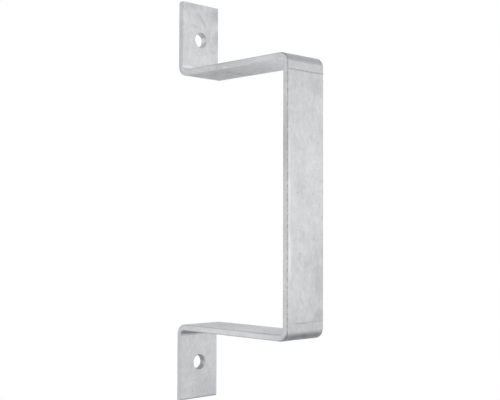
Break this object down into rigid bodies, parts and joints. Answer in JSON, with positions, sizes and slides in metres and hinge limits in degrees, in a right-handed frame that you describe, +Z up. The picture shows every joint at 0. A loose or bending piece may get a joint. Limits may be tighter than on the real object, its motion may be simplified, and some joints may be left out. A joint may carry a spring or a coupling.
{
  "type": "gate u-bracket",
  "caption": "Flat steel bar folded square into a U that stands out from its mounting face, with a leg at each end and a bolt hole in each leg.",
  "frame": {"origin": "on the mounting face, midway between the two bolt holes and in the middle of the bar's width", "axes": "+X runs out from the mounting face to the web, +Y runs across the bar, +Z runs up along the legs and the web"},
  "size_m": [0.125, 0.04, 0.33],
  "materials": {
    "galvanised_steel": "hot-dip galvanised, dull silver grey with soft mottling"
  },
  "bodies": {
    "root": {"bracket": "galvanised_steel"}
  },
  "joints": []
}
